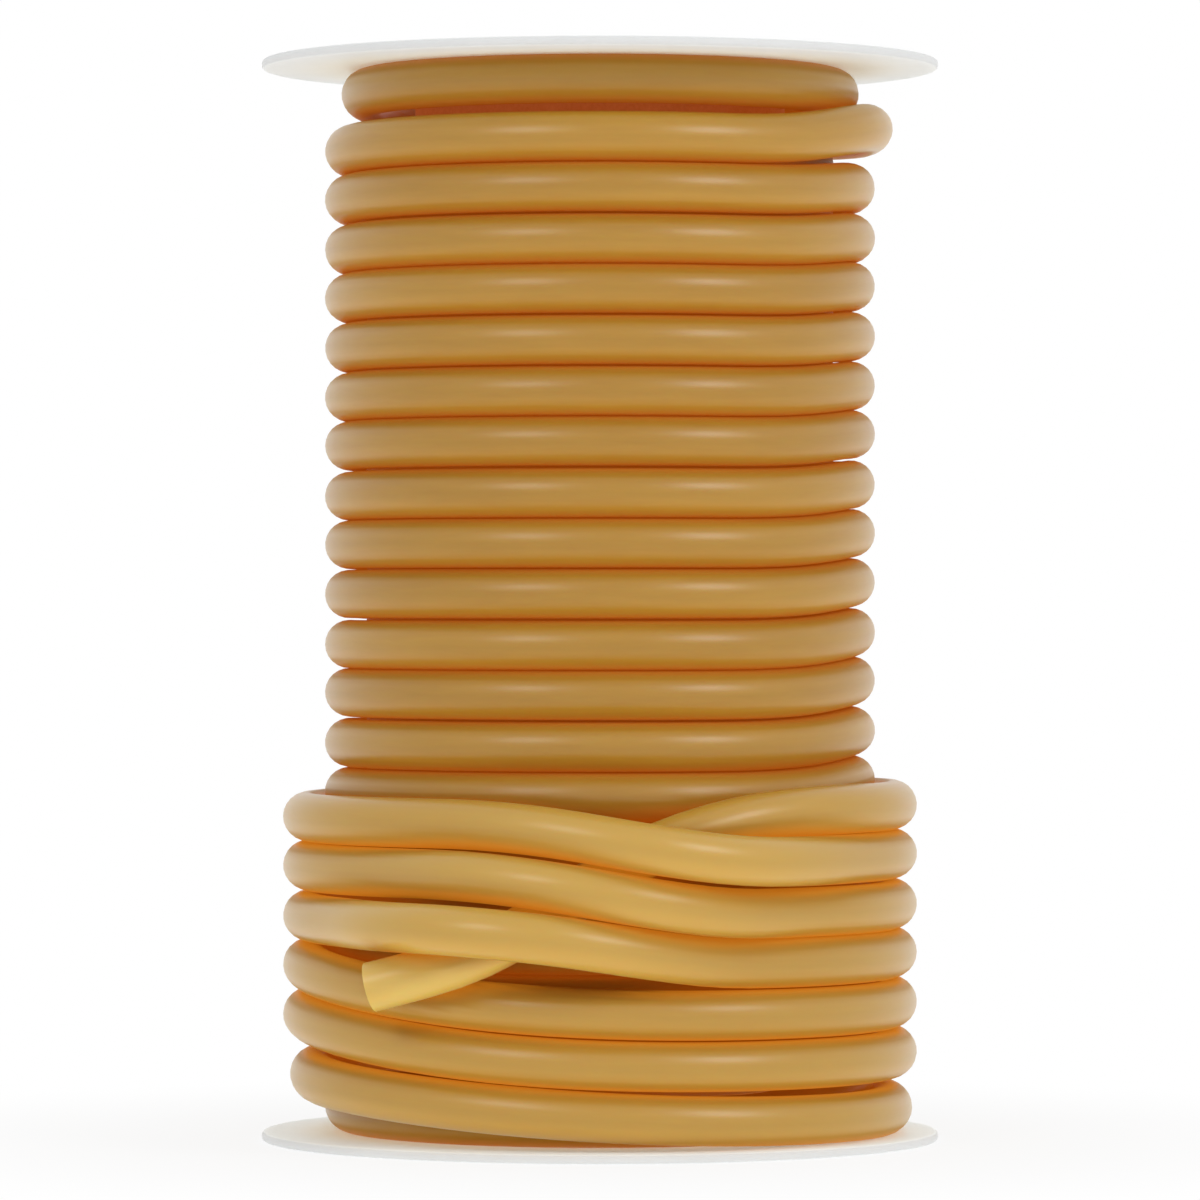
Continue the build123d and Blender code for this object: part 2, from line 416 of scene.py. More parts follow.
# %% Helpers for node trees
def link(tree, source, target):
    """Joins an output socket to an input socket."""
    tree.links.new(source, target)


def feed(tree, socket, value):
    """Gives an input socket a plain value, or links it to another node's output."""
    if isinstance(value, bpy.types.NodeSocket):
        link(tree, value, socket)
    else:
        socket.default_value = value


def add(tree, kind, inputs=None, **settings):
    """A node of the tree, with its settings and with what feeds its named inputs."""
    node = tree.nodes.new(kind)
    for name, value in settings.items():
        setattr(node, name, value)
    for name, value in (inputs or {}).items():
        feed(tree, node.inputs[name], value)
    return node


print("helpers: link, feed, add")


# %% Helpers for sums
def reckon(tree, operation, *values):
    """The result of a Math node."""
    node = add(tree, "ShaderNodeMath", operation=operation)
    for socket, value in zip(node.inputs, values):
        feed(tree, socket, value)
    return node.outputs["Value"]


def reckon_vector(tree, operation, *values, result="Vector"):
    """The result of a Vector Math node."""
    node = add(tree, "ShaderNodeVectorMath", operation=operation)
    for socket, value in zip(node.inputs, values):
        feed(tree, socket, value)
    return node.outputs[result]


def ranged(tree, value, start, end, low, high, kind="SMOOTHSTEP"):
    """A value that goes from low to high between two marks, and stays level beyond them."""
    limits = {"From Min": start, "From Max": end, "To Min": low, "To Max": high}
    node = add(tree, "ShaderNodeMapRange", {"Value": value, **limits}, interpolation_type=kind)
    return node.outputs["Result"]


print("helpers: reckon, reckon_vector, ranged")

# %% [markdown]
# ## The tube's wall
#
# A tube is a circle carried along a line. It could be a curve with a bevel, but a bevel has no bore
# and no cut face. Here Geometry Nodes carry two circles along the line, one for the outside and one
# for the bore, and close each end with a flat ring. Each point also remembers where it lay on the
# straight, unwound tube, so that the rubber's grain can later run along the tubing and not across
# it.

# %% Inputs of the tube tree
TUBE_INPUTS = {
    "Geometry": "NodeSocketGeometry",
    "Outside Diameter": "NodeSocketFloat",
    "Wall": "NodeSocketFloat",
    "Section Spacing": "NodeSocketFloat",
    "Outside Sides": "NodeSocketInt",
    "Bore Sides": "NodeSocketInt",
    "Material": "NodeSocketMaterial",
}

tube_tree = bpy.data.node_groups.new("hollow tube", "GeometryNodeTree")
for input_name, socket_type in TUBE_INPUTS.items():
    tube_tree.interface.new_socket(input_name, in_out="INPUT", socket_type=socket_type)
tube_tree.interface.new_socket("Geometry", in_out="OUTPUT", socket_type="NodeSocketGeometry")
given = add(tube_tree, "NodeGroupInput").outputs
print("tube tree inputs", list(TUBE_INPUTS))


# %% Values stored on the mesh
def stored(tree, geometry, name, value, kind, domain="POINT"):
    """The geometry with a named value stored on it."""
    inputs = {"Geometry": geometry, "Name": name, "Value": value}
    node = add(tree, "GeometryNodeStoreNamedAttribute", inputs, data_type=kind, domain=domain)
    return node.outputs["Geometry"]


def recalled(tree, name, kind):
    """A named value that the geometry carries."""
    node = add(tree, "GeometryNodeInputNamedAttribute", {"Name": name}, data_type=kind)
    return node.outputs["Attribute"]


print("helpers: stored, recalled")


# %% Walls of the tube
def measured_line(tree, line, spacing):
    """The line in even sections, each of which stores its length from the start."""
    even = {"Curve": line, "Length": spacing}
    pieces = add(tree, "GeometryNodeResampleCurve", even, mode="LENGTH").outputs["Curve"]
    length = add(tree, "GeometryNodeSplineParameter").outputs["Length"]
    return stored(tree, pieces, "along", length, "FLOAT")


def circle_profile(tree, radius, sides):
    """A circle of the given radius and sides that stores its own points, for the grain."""
    sizes = {"Radius": radius, "Resolution": sides}
    circle = add(tree, "GeometryNodeCurvePrimitiveCircle", sizes, mode="RADIUS")
    place = add(tree, "GeometryNodeInputPosition").outputs["Position"]
    return stored(tree, circle.outputs["Curve"], "section", place, "FLOAT_VECTOR")


def swept(tree, line, profile):
    """The surface that a profile leaves as it is carried along a line."""
    sweep = add(tree, "GeometryNodeCurveToMesh", {"Curve": line, "Profile Curve": profile})
    return sweep.outputs["Mesh"]


outside_radius = reckon(tube_tree, "MULTIPLY", given["Outside Diameter"], 1 / 2)
bore_radius = reckon(tube_tree, "SUBTRACT", outside_radius, given["Wall"])
sections = measured_line(tube_tree, given["Geometry"], given["Section Spacing"])
outside_circle = circle_profile(tube_tree, outside_radius, given["Outside Sides"])
bore_circle = circle_profile(tube_tree, bore_radius, given["Bore Sides"])
outside_wall = swept(tube_tree, sections, outside_circle)
bore_skin = swept(tube_tree, sections, bore_circle)
bore_wall = add(tube_tree, "GeometryNodeFlipFaces", {"Mesh": bore_skin}).outputs["Mesh"]
print("nodes for the walls", len(tube_tree.nodes))


# %% Cut ends of the tube
def end_turns(tree):
    """How a flat ring is turned at each end of the line, to face out of the tube."""
    factor = add(tree, "GeometryNodeSplineParameter").outputs["Factor"]
    outwards = reckon(tree, "MULTIPLY_ADD", factor, 2, -1)
    tangent = add(tree, "GeometryNodeInputTangent").outputs["Tangent"]
    scaled = {"Vector": tangent, "Scale": outwards}
    facing = add(tree, "ShaderNodeVectorMath", scaled, operation="SCALE").outputs["Vector"]
    normal = add(tree, "GeometryNodeInputNormal").outputs["Normal"]
    axes = {"Primary Axis": facing, "Secondary Axis": normal}
    turn = add(tree, "FunctionNodeAxesToRotation", axes, primary_axis="Z", secondary_axis="X")
    return turn.outputs["Rotation"]


def cut_rings(tree, line, outside, bore):
    """A flat ring at each end of the line, marked as freshly cut."""
    circles = add(tree, "GeometryNodeJoinGeometry")
    for circle in (outside, bore):
        link(tree, circle, circles.inputs["Geometry"])
    ring = add(tree, "GeometryNodeFillCurve", {"Curve": circles.outputs["Geometry"]})
    fresh = stored(tree, ring.outputs["Mesh"], "cut", 1.0, "FLOAT", domain="FACE")
    ends = add(tree, "GeometryNodeCurveEndpointSelection", {"Start Size": 1, "End Size": 1})
    places = {"Points": line, "Selection": ends.outputs["Selection"], "Instance": fresh,
              "Rotation": end_turns(tree)}
    return add(tree, "GeometryNodeInstanceOnPoints", places).outputs["Instances"]


rings = cut_rings(tube_tree, sections, outside_circle, bore_circle)
print("nodes with the cut ends", len(tube_tree.nodes))

# %% One closed mesh
MERGE_DISTANCE = 0.01 * MM

skins = add(tube_tree, "GeometryNodeJoinGeometry")
for skin in (outside_wall, bore_wall, rings):
    link(tube_tree, skin, skins.inputs["Geometry"])
real = add(tube_tree, "GeometryNodeRealizeInstances", {"Geometry": skins.outputs["Geometry"]})
merged = {"Geometry": real.outputs["Geometry"], "Distance": MERGE_DISTANCE}
closed_tube = add(tube_tree, "GeometryNodeMergeByDistance", merged).outputs["Geometry"]
print("nodes of the closed tube", len(tube_tree.nodes))

# %% [markdown]
# ## What each point knows about itself
#
# Two things that the rubber's finish needs are stored on the mesh. One is the place on the
# straight, unwound tube. The other is how deep in a crease a point lies: it looks straight out
# along its normal, and up or down beside it, and notes how near the next turn is. Blurred a little,
# that becomes a soft mask for the painted glow and painted shade between the turns.

# %% Place on the unwound tube
def unwound_place(tree, mesh):
    """Stores, at each point, where it lay on the straight tube before it was wound."""
    section = recalled(tree, "section", "FLOAT_VECTOR")
    across = add(tree, "ShaderNodeSeparateXYZ", {"Vector": section}).outputs
    parts = {"X": across["X"], "Y": across["Y"], "Z": recalled(tree, "along", "FLOAT")}
    straight = add(tree, "ShaderNodeCombineXYZ", parts)
    return stored(tree, mesh, "unwound", straight.outputs["Vector"], "FLOAT_VECTOR")


placed_tube = unwound_place(tube_tree, closed_tube)
print("nodes with the unwound place", len(tube_tree.nodes))

# %% Depth in a crease
AHEAD_REACH = 20.0 * MM
BESIDE_REACH = 7.5 * MM
BESIDE_POWER = 2.0
CREASE_BLUR = 1
EYE_GAP = 0.02 * MM


def nearness(tree, mesh, eye, direction, reach):
    """How near the next surface is in a direction: one where it touches, nought out of reach."""
    look = add(tree, "GeometryNodeRaycast", {"Target Geometry": mesh, "Source Position": eye,
                                             "Ray Direction": direction, "Ray Length": reach})
    near = ranged(tree, look.outputs["Hit Distance"], reach, 0.0, 0.0, 1.0, kind="LINEAR")
    return reckon(tree, "MULTIPLY", look.outputs["Is Hit"], near)


def crease_depth(tree, mesh):
    """Stores how deep each point lies between the turns, from a look ahead and a look beside it."""
    place = add(tree, "GeometryNodeInputPosition").outputs["Position"]
    normal = add(tree, "GeometryNodeInputNormal").outputs["Normal"]
    eye = reckon_vector(tree, "MULTIPLY_ADD", normal, (EYE_GAP, EYE_GAP, EYE_GAP), place)
    upright = reckon_vector(tree, "MULTIPLY", normal, (0, 0, 1))
    ahead = nearness(tree, mesh, eye, normal, AHEAD_REACH)
    sideways = reckon(tree, "POWER", nearness(tree, mesh, eye, upright, BESIDE_REACH), BESIDE_POWER)
    deeper = {"Value": reckon(tree, "MAXIMUM", ahead, sideways), "Iterations": CREASE_BLUR}
    soft = add(tree, "GeometryNodeBlurAttribute", deeper, data_type="FLOAT")
    return stored(tree, mesh, "crease", soft.outputs["Value"], "FLOAT")


marked_tube = crease_depth(tube_tree, placed_tube)
print("nodes with the crease depth", len(tube_tree.nodes))

# %% Shading and material of the tube
SHARP_ANGLE = 50.0


def smooth_but_for_rims(tree, mesh):
    """Smooth shading, with sharp edges where the wall meets a cut end."""
    walls = {"Geometry": mesh, "Shade Smooth": True}
    smooth = add(tree, "GeometryNodeSetShadeSmooth", walls, domain="FACE").outputs["Geometry"]
    angle = add(tree, "GeometryNodeInputMeshEdgeAngle").outputs["Unsigned Angle"]
    over = add(tree, "FunctionNodeCompare", {"A": angle, "B": radians(SHARP_ANGLE)},
               data_type="FLOAT", operation="GREATER_THAN")
    rims = {"Geometry": smooth, "Selection": over.outputs["Result"], "Shade Smooth": False}
    return add(tree, "GeometryNodeSetShadeSmooth", rims, domain="EDGE").outputs["Geometry"]


finished = {"Geometry": smooth_but_for_rims(tube_tree, marked_tube), "Material": given["Material"]}
painted = add(tube_tree, "GeometryNodeSetMaterial", finished)
add(tube_tree, "NodeGroupOutput", {"Geometry": painted.outputs["Geometry"]})
print("nodes of the tube tree", len(tube_tree.nodes))

# %% [markdown]
# ## Mottle, an effect that every finish shares
#
# Rubber, moulded plastic and paperboard are all slightly uneven: cloudy in colour, a little more or
# less glossy from place to place. One node group makes that unevenness from two sizes of noise.
# Each material places the group with its own size and feeds it its own coordinates.

# %% The mottle group
MOTTLE_SOCKETS = {
    "Vector": "NodeSocketVector",
    "Patches per metre": "NodeSocketFloat",
    "Fine share": "NodeSocketFloat",
}
FINER = 7.0


def mottle_group():
    """A shader group that puts out a soft value about one half, uneven at two sizes."""
    tree = bpy.data.node_groups.new("mottle", "ShaderNodeTree")
    for name, kind in MOTTLE_SOCKETS.items():
        tree.interface.new_socket(name, in_out="INPUT", socket_type=kind)
    tree.interface.new_socket("Value", in_out="OUTPUT", socket_type="NodeSocketFloat")
    wanted = add(tree, "NodeGroupInput").outputs
    patches = wanted["Patches per metre"]
    broad = {"Vector": wanted["Vector"], "Scale": patches, "Detail": 2.0, "Roughness": 0.5}
    fine = {"Vector": wanted["Vector"], "Scale": reckon(tree, "MULTIPLY", patches, FINER),
            "Detail": 3.0, "Roughness": 0.6}
    clouds = [add(tree, "ShaderNodeTexNoise", noise).outputs["Fac"] for noise in (broad, fine)]
    both = {"Factor": wanted["Fine share"], "A": clouds[0], "B": clouds[1]}
    mixed = add(tree, "ShaderNodeMix", both, data_type="FLOAT")
    add(tree, "NodeGroupOutput", {"Value": mixed.outputs["Result"]})
    return tree


mottle = mottle_group()
print("mottle group nodes", len(mottle.nodes))

# %% Helpers for materials
MOTTLE_LOW, MOTTLE_HIGH = 0.3, 0.7


def new_material(name, values):
    """A material whose Principled surface has the given plain values, its tree and that surface."""
    material = bpy.data.materials.new(name)
    material.use_nodes = True
    tree = material.node_tree
    tree.nodes.clear()
    surface = add(tree, "ShaderNodeBsdfPrincipled", values, subsurface_method="RANDOM_WALK")
    add(tree, "ShaderNodeOutputMaterial", {"Surface": surface.outputs["BSDF"]})
    return material, tree, surface


def add_mottle(tree, coordinates, patches, fine_share):
    """The mottle group placed in a material, and its value."""
    sizes = {"Vector": coordinates, "Patches per metre": patches, "Fine share": fine_share}
    return add(tree, "ShaderNodeGroup", sizes, node_tree=mottle).outputs["Value"]


def spread(tree, value, low, high):
    """A mottle value spread evenly between two plain values."""
    return ranged(tree, value, MOTTLE_LOW, MOTTLE_HIGH, low, high, kind="LINEAR")


def add_relief(tree, surface, height, strength, depth):
    """A fine relief on a surface, from a height that changes over it."""
    bump = add(tree, "ShaderNodeBump", {"Height": height, "Strength": strength, "Distance": depth})
    link(tree, bump.outputs["Normal"], surface.inputs["Normal"])


print("a mottle is read from", MOTTLE_LOW, "to", MOTTLE_HIGH)

# %% Helpers for colours and places
BLACK = (0.0, 0.0, 0.0)


def blended(tree, mask, under, over):
    """A colour between two, by a mask. Each is a plain tone or the colour of another node."""
    node = add(tree, "ShaderNodeMix", {"Factor": mask}, data_type="RGBA")
    for name, colour in (("A", under), ("B", over)):
        feed(tree, node.inputs[name], (*colour, 1) if isinstance(colour, tuple) else colour)
    return node.outputs["Result"]


def two_tone(tree, value, dark, light):
    """A colour between two tones, by a mottle value."""
    return blended(tree, spread(tree, value, 0, 1), dark, light)


def object_place(tree):
    """The place of a point in the object, which is its place in the frame."""
    return add(tree, "ShaderNodeTexCoord").outputs["Object"]


def part_of(tree, vector, axis):
    """One part of a vector."""
    return add(tree, "ShaderNodeSeparateXYZ", {"Vector": vector}).outputs[axis]


def from_axis(tree):
    """How far a point is from the reel's axis."""
    flat = reckon_vector(tree, "MULTIPLY", object_place(tree), (1, 1, 0))
    return reckon_vector(tree, "LENGTH", flat, result="Value")


print("helpers: blended, two_tone, object_place, part_of, from_axis")

# %% [markdown]
# ## Amber rubber
#
# Natural rubber is a deep amber that light travels through. A share of that light is scattered
# under the surface, red furthest. Tracing all of it through fourteen metres of wall would take very
# long, so masks from the mesh paint the rest: a painted orange glow and painted shade in the
# creases and beside the flanges, painted light where the tube stands off the reel and towards its
# cut end, and a colour painted brighter on the undersides for light from below. A clear coat, which
# fades out in the creases, mirrors the white room softly and gives the pale edges. The mottle reads
# the unwound place, stretched along the tube, as extruded rubber is streaked.

# %% Values of the rubber
RUBBER_DEEP = (0.42, 0.212, 0.015)
RUBBER_LIGHT = (0.50, 0.268, 0.025)
# Painted light: the paler tone where the tube stands off the reel.
RUBBER_FREE_PAINTED_LIGHT = (0.61, 0.37, 0.062)
# Painted light: the paler tone of the last stretch before the cut end.
RUBBER_TAIL_PAINTED_LIGHT = (0.74, 0.50, 0.11)
# Painted shade: the darker, deeper orange of the creases.
RUBBER_CREASE_PAINTED_SHADE = (0.40, 0.166, 0.026)
RUBBER_CUT = (0.88, 0.86, 0.48)
# Painted glow: the orange light in the creases, in the middle and in the outer layer.
RUBBER_PAINTED_GLOW = (0.142, 0.031, 0.001)
RUBBER_PAINTED_GLOW_OUTER = (0.27, 0.102, 0.005)
RUBBER_PLAIN = {
    "IOR": 1.5,
    "Specular IOR Level": 0.12,
    "Coat Roughness": 0.33,
    "Emission Strength": 1.0,
    "Subsurface Weight": 0.4,
    "Subsurface Radius": (3.0, 1.2, 0.4),
    "Subsurface Scale": MM,
}
wound_radius = middle_radius + TUBE_OD / 2
print("the two full layers reach", round(wound_radius, 4))

# %% Masks on the rubber
FLANGE_REACH = 3.5 * MM
FLANGE_SHADE = 0.8
TAIL_PALE_FROM = 80.0 * MM
TAIL_PALE_TO = 15.0 * MM


def mark(tree, name):
    """The value of a mark that the mesh carries."""
    return add(tree, "ShaderNodeAttribute", attribute_name=name).outputs["Fac"]


def near_flanges(tree):
    """A mask of the rubber that lies close to one of the flanges, for painted shade and painted
    glow there.
    """
    height = part_of(tree, object_place(tree), "Z")
    upper = ranged(tree, height, upper_face - FLANGE_REACH, upper_face, 0.0, FLANGE_SHADE)
    lower = ranged(tree, height, lower_face + FLANGE_REACH, lower_face, 0.0, FLANGE_SHADE)
    return reckon(tree, "MAXIMUM", upper, lower)


def near_cut_end(tree, unwound):
    """A mask of the last stretch before the cut end, where painted light makes the rubber paler."""
    along = part_of(tree, unwound, "Z")
    return ranged(tree, along, tube_length - TAIL_PALE_FROM, tube_length - TAIL_PALE_TO, 0.0, 1.0)


print("the end is paler from", round(tube_length - TAIL_PALE_FROM, 3), "along the tubing")

# %% Tone and light of the rubber
FREE_REACH = 2 * TUBE_OD
LIFT_FROM_BELOW = 1.28
FACING_DOWN = -0.75
GLOW_FROM_CREASE = 0.3
OUTER_GLOW_REACH = 4.0 * MM
CLOUD_PATCHES, CLOUD_FINE_SHARE = 90.0, 0.35


def lit_from_below(tree, colour):
    """A colour made brighter where the surface faces down, as light comes up through the tube."""
    facing = part_of(tree, add(tree, "ShaderNodeNewGeometry").outputs["Normal"], "Z")
    brighter = ranged(tree, facing, 0.0, FACING_DOWN, 1.0, LIFT_FROM_BELOW)
    lifted = add(tree, "ShaderNodeHueSaturation", {"Value": brighter, "Color": colour})
    return lifted.outputs["Color"]


def rubber_tone(tree, unwound, streaked, radius, crease):
    """The rubber's colour: cloudy, with painted light off the reel, near the cut and on the
    undersides, and painted shade in the creases.
    """
    cloud = add_mottle(tree, streaked, CLOUD_PATCHES, CLOUD_FINE_SHARE)
    cloudy = two_tone(tree, cloud, RUBBER_DEEP, RUBBER_LIGHT)
    # Painted light where the tube stands off the reel.
    standing_off = ranged(tree, radius, wound_radius, wound_radius + FREE_REACH, 0.0, 1.0)
    free = blended(tree, standing_off, cloudy, RUBBER_FREE_PAINTED_LIGHT)
    # Painted light near the cut end.
    paler = blended(tree, near_cut_end(tree, unwound), free, RUBBER_TAIL_PAINTED_LIGHT)
    # Painted shade in the creases.
    creased = blended(tree, crease, paler, RUBBER_CREASE_PAINTED_SHADE)
    return blended(tree, mark(tree, "cut"), lit_from_below(tree, creased), RUBBER_CUT)


def painted_rubber_glow(tree, radius, crease):
    """A painted orange glow in the creases and close to the core, for light that comes through the
    rubber, stronger in the outer layer.
    """
    hidden = ranged(tree, radius, top_radius, inner_radius, 0.0, 1.0)
    deep = ranged(tree, crease, GLOW_FROM_CREASE, 1.0, 0.0, 1.0)
    outer = ranged(tree, radius, wound_radius, wound_radius + OUTER_GLOW_REACH, 0.0, 1.0)
    through = blended(tree, outer, RUBBER_PAINTED_GLOW, RUBBER_PAINTED_GLOW_OUTER)
    return blended(tree, reckon(tree, "MAXIMUM", deep, hidden), BLACK, through)


print("the free tone is full at", round(wound_radius + FREE_REACH, 4), "from the axis")

# %% The rubber material
STREAK_STRETCH = 0.12
STREAK_PATCHES, STREAK_FINE_SHARE = 420.0, 0.5
STREAK_STRENGTH, STREAK_DEPTH = 0.10, 0.05 * MM
SATIN_LOW, SATIN_HIGH = 0.42, 0.52
COAT_GONE_AT_CREASE = 0.4


def rubber_material():
    """Amber rubber with light under its surface, faint streaks along the tube and a satin face."""
    material, tree, surface = new_material("amber_rubber", RUBBER_PLAIN)
    unwound = add(tree, "ShaderNodeAttribute", attribute_name="unwound").outputs["Vector"]
    stretched = {"Vector": unwound, "Scale": (1, 1, STREAK_STRETCH)}
    streaked = add(tree, "ShaderNodeMapping", stretched).outputs["Vector"]
    radius = from_axis(tree)
    # The crease mask, with the rubber beside the flanges, places the painted shade and the painted
    # glow.
    crease = reckon(tree, "MAXIMUM", mark(tree, "crease"), near_flanges(tree))
    streak = add_mottle(tree, streaked, STREAK_PATCHES, STREAK_FINE_SHARE)
    finish = {
        "Base Color": rubber_tone(tree, unwound, streaked, radius, crease),
        "Emission Color": painted_rubber_glow(tree, radius, crease),
        "Coat Weight": ranged(tree, crease, 0.0, COAT_GONE_AT_CREASE, 1.0, 0.0),
        "Roughness": spread(tree, streak, SATIN_LOW, SATIN_HIGH),
    }
    for name, source in finish.items():
        link(tree, source, surface.inputs[name])
    add_relief(tree, surface, streak, STREAK_STRENGTH, STREAK_DEPTH)
    return material


rubber = rubber_material()
print("made", rubber.name)

# %% The tubing
TUBE_VALUES = {
    "Outside Diameter": TUBE_OD,
    "Wall": TUBE_WALL,
    "Section Spacing": 5.6 * MM,
    "Outside Sides": 24,
    "Bore Sides": 10,
    "Material": rubber,
}


def set_input(modifier, name, value):
    """Sets a modifier's named input by the identifier of its socket."""
    for item in modifier.node_group.interface.items_tree:
        if item.item_type == "SOCKET" and item.in_out == "INPUT" and item.name == name:
            modifier[item.identifier] = value


def wound_tubing(line):
    """The tubing as a plain mesh, from its centre line and the tube tree."""
    modifier = line.modifiers.new("hollow tube", "NODES")
    modifier.node_group = tube_tree
    for name, value in TUBE_VALUES.items():
        set_input(modifier, name, value)
    bpy.context.view_layer.update()
    evaluated = line.evaluated_get(bpy.context.evaluated_depsgraph_get())
    mesh = bpy.data.meshes.new_from_object(evaluated)
    mesh.name = "wound_tubing"
    mesh.materials.clear()
    mesh.materials.append(rubber)
    mesh.polygons.foreach_set("material_index", [0] * len(mesh.polygons))
    piece = bpy.data.objects.new("wound_tubing", mesh)
    scene.collection.objects.link(piece)
    bpy.data.objects.remove(line)
    mesh.calc_loop_triangles()
    print("tubing triangles", len(mesh.loop_triangles), "material", mesh.materials[0].name)
    return piece


tubing = wound_tubing(centre_line)
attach(tubing, "root")
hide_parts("tubing")

# %% [markdown]
# ## White moulded plastic
#
# The flanges are thin off-white mouldings that let light through: cream beside the rubber, cool
# white further out, and a little greyer at the rim. Scattering under the surface gives most of
# that, and a faint painted glow the rest; the rim has none, so it stays greyer. The painted glow is
# warm, as amber light from the rubber, only on the faces that look at the winding, and fades out
# through the disc. The satin face is mottled mostly in its gloss, with the faintest orange-peel
# relief.

# %% Painted light in the plastic
# Colours of a painted glow: cool through the disc, warm as amber light from the rubber.
PLASTIC_PAINTED_GLOW = (0.15, 0.163, 0.155)
PLASTIC_PAINTED_WARM_GLOW = (0.205, 0.183, 0.112)
WARM_ENDS_BEFORE_RIM = 1.0 * MM
RIM_FROM, RIM_TO = 0.5 * MM, 0.1 * MM

flange_thickness = reel_height - upper_face
winding_middle = (lower_face + upper_face) / 2
winding_half = (upper_face - lower_face) / 2


def winding_side(tree):
    """A mask of the flanges' faces towards the winding. It fades out through their thickness."""
    above_middle = reckon(tree, "SUBTRACT", part_of(tree, object_place(tree), "Z"), winding_middle)
    height = reckon(tree, "ABSOLUTE", above_middle)
    return ranged(tree, height, winding_half, winding_half + flange_thickness, 1.0, 0.0)


def painted_plastic_glow(tree):
    """A painted glow for the light that thin plastic carries: warm beside the rubber, then cool,
    and none on the rim.
    """
    radius = from_axis(tree)
    off_hub = ranged(tree, radius, core_radius - TUBE_WALL, core_radius, 0.0, 1.0)
    off_rim = ranged(tree, radius, middle_radius, flange_radius - WARM_ENDS_BEFORE_RIM, 1.0, 0.0)
    beside_rubber = reckon(tree, "MULTIPLY", off_hub, off_rim)
    warm = reckon(tree, "MULTIPLY", winding_side(tree), beside_rubber)
    tone = blended(tree, warm, PLASTIC_PAINTED_GLOW, PLASTIC_PAINTED_WARM_GLOW)
    # No painted glow on the rim, so it stays greyer.
    rim = ranged(tree, radius, flange_radius - RIM_FROM, flange_radius - RIM_TO, 0.0, 1.0)
    return blended(tree, rim, tone, BLACK)


print("flange thickness", round(flange_thickness, 4))

# %% The plastic material
PLASTIC_DARK = (0.69, 0.715, 0.72)
PLASTIC_LIGHT = (0.73, 0.755, 0.76)
PLASTIC_PLAIN = {
    "Specular IOR Level": 0.1,
    "Emission Strength": 1.0,
    "Subsurface Weight": 1.0,
    "Subsurface Radius": (7.0, 7.0, 6.8),
    "Subsurface Scale": MM,
}
HAZE_PATCHES, HAZE_FINE_SHARE = 60.0, 0.3
PEEL_PATCHES, PEEL_FINE_SHARE = 700.0, 0.5
PEEL_STRENGTH, PEEL_DEPTH = 0.06, 0.03 * MM
PLASTIC_SATIN_LOW, PLASTIC_SATIN_HIGH = 0.45, 0.58


def plastic_material():
    """Off-white moulded plastic, a little translucent, with a satin face and a painted glow."""
    material, tree, surface = new_material("white_plastic", PLASTIC_PLAIN)
    place = object_place(tree)
    haze = add_mottle(tree, place, HAZE_PATCHES, HAZE_FINE_SHARE)
    peel = add_mottle(tree, place, PEEL_PATCHES, PEEL_FINE_SHARE)
    link(tree, two_tone(tree, haze, PLASTIC_DARK, PLASTIC_LIGHT), surface.inputs["Base Color"])
    satin = spread(tree, peel, PLASTIC_SATIN_LOW, PLASTIC_SATIN_HIGH)
    link(tree, satin, surface.inputs["Roughness"])
    link(tree, painted_plastic_glow(tree), surface.inputs["Emission Color"])
    add_relief(tree, surface, peel, PEEL_STRENGTH, PEEL_DEPTH)
    return material


plastic = plastic_material()
print("made", plastic.name)

# %% [markdown]
# ## Paperboard core
#
# The core is wound from strips of brown board, so its face has a shallow spiral seam. The winding
# hides it, apart from a slit under the upper flange and what shows through the arbor hole, but it
# is finished like the rest. A wave texture on turned coordinates gives the seam. In the slit the
# board is lit through the rubber; that light is painted, as an orange glow on its outside.

# %% The paperboard material
BOARD_DARK = (0.30, 0.20, 0.115)
BOARD_LIGHT = (0.42, 0.30, 0.185)
BOARD_PAINTED_GLOW = (0.19, 0.025, 0.0)
GLOW_FROM, GLOW_TO = 1.0 * MM, 0.2 * MM
FIBRE_PATCHES, FIBRE_FINE_SHARE = 220.0, 0.6
BOARD_MATT_LOW, BOARD_MATT_HIGH = 0.78, 0.92
SEAM_LEAN = 35.0
SEAM_SCALE = 8.0
SEAM_STRENGTH, SEAM_DEPTH = 0.2, 0.1 * MM


def board_material():
    """Brown paperboard with a fibre mottle, a faint spiral seam and a painted orange glow on its
    outside.
    """
    material, tree, surface = new_material("core_board", {"Emission Strength": 1.0})
    place = object_place(tree)
    fibre = add_mottle(tree, place, FIBRE_PATCHES, FIBRE_FINE_SHARE)
    leaning = {"Vector": place, "Rotation": (radians(SEAM_LEAN), 0, 0)}
    turned = add(tree, "ShaderNodeMapping", leaning).outputs["Vector"]
    waves = {"Vector": turned, "Scale": SEAM_SCALE, "Distortion": 0.0}
    seam = add(tree, "ShaderNodeTexWave", waves, bands_direction="Z")
    radius = from_axis(tree)
    # Painted light: an orange glow on the board's outside, where it shows in the slit.
    outside = ranged(tree, radius, core_radius - GLOW_FROM, core_radius - GLOW_TO, 0.0, 1.0)
    link(tree, two_tone(tree, fibre, BOARD_DARK, BOARD_LIGHT), surface.inputs["Base Color"])
    link(tree, spread(tree, fibre, BOARD_MATT_LOW, BOARD_MATT_HIGH), surface.inputs["Roughness"])
    link(tree, blended(tree, outside, BLACK, BOARD_PAINTED_GLOW), surface.inputs["Emission Color"])
    add_relief(tree, surface, seam.outputs["Fac"], SEAM_STRENGTH, SEAM_DEPTH)
    return material


board = board_material()
print("made", board.name)


# %% Finish the reel
def paint(node, material):
    """Gives a node of the frame its material."""
    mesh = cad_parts[node].data
    mesh.materials.clear()
    mesh.materials.append(material)
    print("painted", node, material.name)


